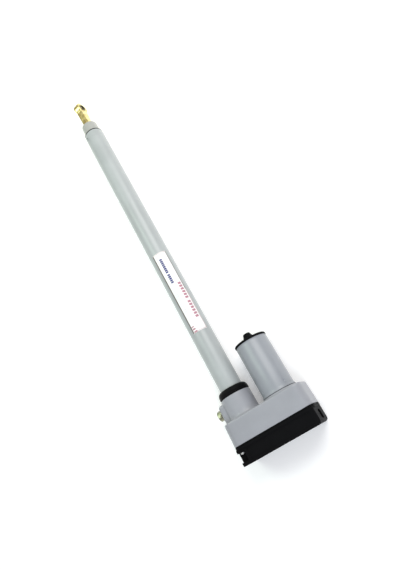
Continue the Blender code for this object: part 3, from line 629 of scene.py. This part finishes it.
def eye():
    """Forged eye: round shank, flat blade and bearing ring melted together, with the race's lips."""
    shank = lathe("shank", (
        (703, 0), (703, 7.5), (731, 7.5), (731.2, 7.2), (742, 7.1), (752, 5.8), (764, 4.0), (766, 0),
    ), steps=64)
    outline = [(735.0, -5.0), (744.0, -6.0), (759.0, -7.6)]
    for step in range(41):
        angle = math.radians(-138 + 276 * step / 40)
        outline.append((EYE_X + EYE_R * math.cos(angle), EYE_R * math.sin(angle)))
    outline += [(759.0, 7.6), (744.0, 6.0), (735.0, 5.0)]
    blade = pushed("blade", outline, (-EYE_HALF, EYE_HALF), lambda a, b, t: (a, t, b))
    body = melted(joined("eye_blank", [shank, blade]), 0.4, 5)
    seat = bmesh.new()
    bmesh.ops.create_uvsphere(seat, u_segments=64, v_segments=32, radius=(BALL_R + GAP) * MM)
    bmesh.ops.translate(seat, verts=seat.verts, vec=(EYE_X * MM, 0, 0))
    body = cut_from(body, mesh_from(seat, "seat"))
    for side in (1, -1):
        y = sorted((side * 6.1, side * 8))
        groove = cut_from(bar("groove", 10.2, y, EYE_X), bar("core", 9.4, (-9, 9), EYE_X))
        body = cut_from(body, groove)
    body = cut_from(rolled(body), bar("hole", ROD_PIN_HOLE_R, (-20, 20), ROD_PIN_X))
    piece("eye", body, GOLD, "rod", stands_for=("rod_eye",), angle=40)


def ball():
    """Bearing ball with its two sleeves and the bolt's bore, turned about the eye's own axis."""
    profile = [(-8.4, 5.3), (-8.4, 6.2), (-8.1, 6.5), (-7.6, 6.5)]
    for k in range(1, 24):
        a = math.radians(-49.4 + 98.8 * k / 24)
        profile.append((BALL_R * math.sin(a), BALL_R * math.cos(a)))
    profile += [(7.6, 6.5), (8.1, 6.5), (8.4, 6.2), (8.4, 5.3), (8.1, 5.0), (-8.1, 5.0)]
    mesh = lathe("ball_mesh", profile, steps=72)
    mesh.transform(Matrix.Rotation(math.pi / 2, 4, "Z"))
    mesh.transform(Matrix.Translation((EYE_X * MM, 0, 0)))
    piece("ball", rolled(mesh), BALL_STEEL, "ball", stands_for=("rod_ball",))


def label_patch(name, x, angle, lift, finish):
    """A thin curved rectangle on the tube; angle runs from straight up towards the motor."""
    steps = max(2, round((angle[1] - angle[0]) / 2.5))
    bm = bmesh.new()
    layers = []
    for radius in (LABEL_R - 0.25, LABEL_R + lift):
        rows = []
        for place in x:
            row = []
            for k in range(steps + 1):
                a = math.radians(angle[0] + (angle[1] - angle[0]) * k / steps)
                row.append(bm.verts.new(Vector((place, -radius * math.sin(a), radius * math.cos(a))) * MM))
            rows.append(row)
        layers.append(rows)
    (in_0, in_1), (out_0, out_1) = layers
    for k in range(steps):
        bm.faces.new((out_0[k], out_0[k + 1], out_1[k + 1], out_1[k]))
        bm.faces.new((in_0[k], in_1[k], in_1[k + 1], in_0[k + 1]))
        bm.faces.new((in_0[k], in_0[k + 1], out_0[k + 1], out_0[k]))
        bm.faces.new((in_1[k], out_1[k], out_1[k + 1], in_1[k + 1]))
    for k in (0, steps):
        bm.faces.new((in_0[k], out_0[k], out_1[k], in_1[k]))
    return piece(name, mesh_from(bm, name), finish)


def label():
    """Blank film round the tube with plain printed blocks in place of any lettering."""
    print_lift = 0.03
    left, right = -21.0, 58.0
    base = label_patch("label_film", LABEL_X, (left, right), 0.0, WHITE_FILM)
    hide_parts("tube_label")
    # name, film, X range, angles, block length, gap, blocks in a group
    rows = (
        ("blue", BLUE_FILM, (371, 316), (4.0, 19.0), 3.2, 0.7, 8),
        ("red", RED_FILM, (316, 236), (32.0, 49.0), 4.2, 1.7, 6),
    )
    for name, finish, (start, end), angle, length, gap, group in rows:
        place, number = start, 0
        while place - length > end:
            number += 1
            label_patch(f"label_{name}_block_{number}", (place - length, place), angle, print_lift, finish)
            place -= length + gap
            if number % group == 0:
                place -= gap + 1.5
    for number, (start, length) in enumerate(((232.5, 2.0), (228.5, 3.0), (223.5, 3.2)), 1):
        angle = (-15 + number, -3 + 3 * number)
        label_patch(f"label_mark_{number}", (start - length, start), angle, print_lift, RED_FILM)
    for number, start in enumerate((-9, -3, 3), 1):
        line_x, angle = (258, 318 - 6 * number), (start, start + 1.4)
        label_patch(f"label_grey_line_{number}", line_x, angle, print_lift, GREY_FILM)
    borders = (
        # The band at the right edge is partly the film's edge line and partly painted shade of the tube's
        # darker side beside it: dark brown along the upper end, pink along the lower end.
        ("right_border", (300.0, 383.5), (right - 3, right + 0.2), BROWN_FILM),
        ("right_border_low", (220.5, 300.0), (right - 3, right - 0.4), PINK_FILM),
        ("left_border", (220.5, 383.5), (left - 0.5, left + 5.5), BROWN_FILM),
        ("top_border", (382.4, 383.2), (left + 1.5, right - 1.5), PINK_FILM),
        ("low_border", (220.8, 221.6), (left + 1.5, right - 1.5), PINK_FILM),
    )
    for name, x, angle, finish in borders:
        label_patch(f"label_{name}", x, angle, print_lift, finish)


# ---------------------------------------------------------------- motor
def motor():
    """Drawn steel can with a pressed foot and crimped mouth, and a plastic end cap."""
    can = lathe("can_mesh", (
        (70.2, 8.3), (70.2, 28.4), (71.6, 28.4), (72.6, 28.2), (73.8, 27.5), (75.4, 27.3),
        (157.6, 27.3), (158.0, 27.1), (158.6, 27.1), (159.0, 27.3), (160.0, 27.3), (160.5, 26.9),
        (160.5, 25.3), (72.7, 25.3), (72.7, 8.3),
    ), MOTOR_Y, steps=128)
    dents = []
    for k in range(4):
        a = math.radians(45 + 90 * k)
        dent = lathe("dent", ((-2.6, 0), (-1.8, 1.4), (0, 2.0), (1.8, 1.4), (2.6, 0)), steps=20)
        place = (80 * MM, (MOTOR_Y + 28.0 * math.sin(a)) * MM, 28.0 * math.cos(a) * MM)
        dent.transform(Matrix.Translation(place))
        dents.append(dent)
    piece("can", cut_from(can, *dents), CAN_GREY, stands_for=("motor_can",))
    seal_ring = ((69.6, 27.4), (69.6, 28.7), (70.05, 28.95), (70.5, 28.7), (70.5, 27.4))
    seal = lathe("seal_mesh", seal_ring, MOTOR_Y)
    piece("motor_seal", seal, RUBBER)
    profile = [
        (155, 0), (155, 25.0), (160.8, 25.0), (160.8, 27.4), (161.1, 27.9), (163.6, 27.9),
        (164.2, 27.3), (164.2, 24.8), (163.0, 24.2), (163.0, 20.5), (163.6, 19.9), (163.8, 16.0),
        (164.6, 13.2), (166.0, 11.0), (168.0, 9.6), (171.0, 7.8), (174.0, 6.6), (175.7, 6.1),
        (176.5, 5.4), (176.5, 2.4), (175.9, 1.9), (175.9, 0),
    ]
    cap = lathe("cap_mesh", profile, MOTOR_Y, steps=112)
    rear_pocket = lathe("pocket", ((154, 0), (154, 6.3), (162.6, 6.3), (162.6, 0)), MOTOR_Y, steps=48)
    slots = []
    for k in range(2):
        slot = brick("slot", (161.5, 166), (-1.2, 1.2), (13.5, 18.5))
        slot.transform(Matrix.Rotation(math.radians(70 + 180 * k), 4, "X"))
        slot.transform(Matrix.Translation((0, MOTOR_Y * MM, 0)))
        slots.append(slot)
    piece("cap", cut_from(cap, rear_pocket, *slots), BLACK, stands_for=("motor_end_cap",))


# ---------------------------------------------------------------- hidden drive
def helix(name, x, root, crest, pitch, width):
    """A helical ridge about the tube's axis, riding on the turning screw."""
    steps = 28
    section = ((-width / 2, root), (-width / 4, crest), (width / 4, crest), (width / 2, root))
    bm = bmesh.new()
    rows = []
    for k in range(int((x[1] - x[0]) / pitch * steps) + 1):
        a = -TURN * k / steps
        middle = x[0] + pitch * k / steps
        rows.append([
            bm.verts.new(Vector((middle + shift, radius * math.sin(a), radius * math.cos(a))) * MM)
            for shift, radius in section
        ])
    for one, two in zip(rows, rows[1:]):
        for k in range(len(section)):
            j = (k + 1) % len(section)
            bm.faces.new((one[k], one[j], two[j], two[k]))
    bm.faces.new(rows[0])
    bm.faces.new(rows[-1])
    piece(name, mesh_from(bm, name), STEEL, "screw", angle=50)


def screw_threads():
    """The ridges of the lead screw and of the worm for the limit switches."""
    helix("lead_thread", (84, 608), 7.3, 7.8, 5.0, 3.0)
    helix("worm_thread", (9.5, 20.5), 2.7, 3.1, 1.9, 1.1)


housing()
cover()
gasket()
cable_tongue()
cover_screws()
clamp_bolt()
tubes()
rod()
eye()
ball()
label()
motor()
screw_threads()


# ---------------------------------------------------------------- stage, light and camera
def stage_and_light():
    """A wide pale floor just under the actuator, an even white surround and three soft lamps, in metres."""
    reach = 14.0
    middle_x = 0.4
    floor_z = -HALF_DEPTH * MM - 0.0002
    corners = ((-reach, -reach), (reach, -reach), (reach, reach), (-reach, reach))
    bm = bmesh.new()
    bm.faces.new([bm.verts.new((middle_x + x, y, floor_z)) for x, y in corners])
    floor = bpy.data.objects.new("floor", mesh_from(bm, "floor"))
    bpy.context.scene.collection.objects.link(floor)
    material, nodes, links = new_material("floor")
    shader = nodes["Principled BSDF"]
    shader.inputs["Base Color"].default_value = (0.93, 0.93, 0.93, 1.0)
    shader.inputs["Roughness"].default_value = 0.9
    shader.inputs["Specular IOR Level"].default_value = 0.1
    shader.inputs["Emission Color"].default_value = (1.0, 1.0, 1.0, 1.0)
    shader.inputs["Emission Strength"].default_value = 0.18
    floor.data.materials.append(material)
    world = bpy.data.worlds.new("studio")
    world.use_nodes = True
    surround = world.node_tree.nodes["Background"]
    surround.inputs["Color"].default_value = (1.0, 1.0, 1.0, 1.0)
    surround.inputs["Strength"].default_value = 0.50
    bpy.context.scene.world = world
    lamp("key", (0.95, -0.75, 1.05), (0.80, 0.0, 0.0), 1.0, 14, (1.0, 0.985, 0.96))
    lamp("fill", (0.80, 0.50, 0.95), (0.60, 0.0, 0.0), 0.6, 4.5, (0.82, 1.0, 0.82))
    lamp("overhead", (-0.45, -0.12, 0.90), (0.05, -0.05, 0.0), 0.5, 3.8, (0.84, 0.90, 1.0))


def lamp(name, place, target, size, power, colour):
    """A square soft lamp at place that shines at target."""
    light = bpy.data.lights.new(name, "AREA")
    light.size = size
    light.energy = power
    light.color = colour
    thing = bpy.data.objects.new(name, light)
    thing.location = place
    aim = Vector(target) - Vector(place)
    thing.rotation_euler = aim.to_track_quat("-Z", "Y").to_euler()
    bpy.context.scene.collection.objects.link(thing)


def camera():
    """The photograph's viewpoint: high over the motor's side, turned so that the tube leans to the left."""
    place = Vector((-0.0030, -0.2381, 0.7382))
    target = Vector((0.2941, -0.0395, 0.0))
    roll = Matrix.Rotation(math.radians(-66.13), 4, "Z")
    lens = bpy.data.cameras.new("camera")
    lens.sensor_fit = "VERTICAL"
    lens.sensor_width = lens.sensor_height = 36.0
    lens.lens = 29.684
    eye_point = bpy.data.objects.new("camera", lens)
    aim = (target - place).to_track_quat("-Z", "Y").to_matrix().to_4x4()
    eye_point.matrix_world = Matrix.Translation(place) @ aim @ roll
    bpy.context.scene.collection.objects.link(eye_point)
    bpy.context.scene.camera = eye_point


stage_and_light()
camera()
bpy.context.scene.view_settings.view_transform = "Standard"
